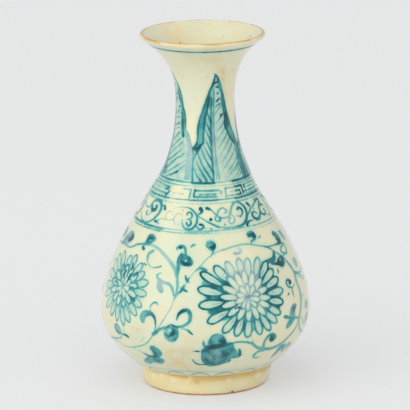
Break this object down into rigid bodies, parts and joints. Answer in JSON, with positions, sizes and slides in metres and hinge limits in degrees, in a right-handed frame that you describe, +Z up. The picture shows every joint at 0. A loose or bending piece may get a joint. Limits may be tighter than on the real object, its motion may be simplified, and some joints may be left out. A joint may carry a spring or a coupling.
{
  "type": "pear-shaped bottle vase",
  "caption": "Pear-shaped porcelain bottle vase with a turned foot ring, slender neck and flaring lipped mouth, painted in underglaze blue.",
  "frame": {"origin": "centre of the foot ring's resting plane", "axes": "+Z up along the vase's axis, -Y towards the viewer of the picture"},
  "size_m": [0.1704, 0.1704, 0.29],
  "materials": {
    "foot_porcelain": "glossy glaze over cream porcelain, bare and rust-edged where it stands",
    "painted_porcelain": "clear glossy glaze over painted cobalt blue",
    "mouth_porcelain": "glossy glaze with a brown-dressed lip"
  },
  "bodies": {
    "root": {"foot_ring": "foot_porcelain", "lower_body": "painted_porcelain", "shoulder": "painted_porcelain", "neck": "painted_porcelain", "mouth_rim": "mouth_porcelain"}
  },
  "joints": []
}
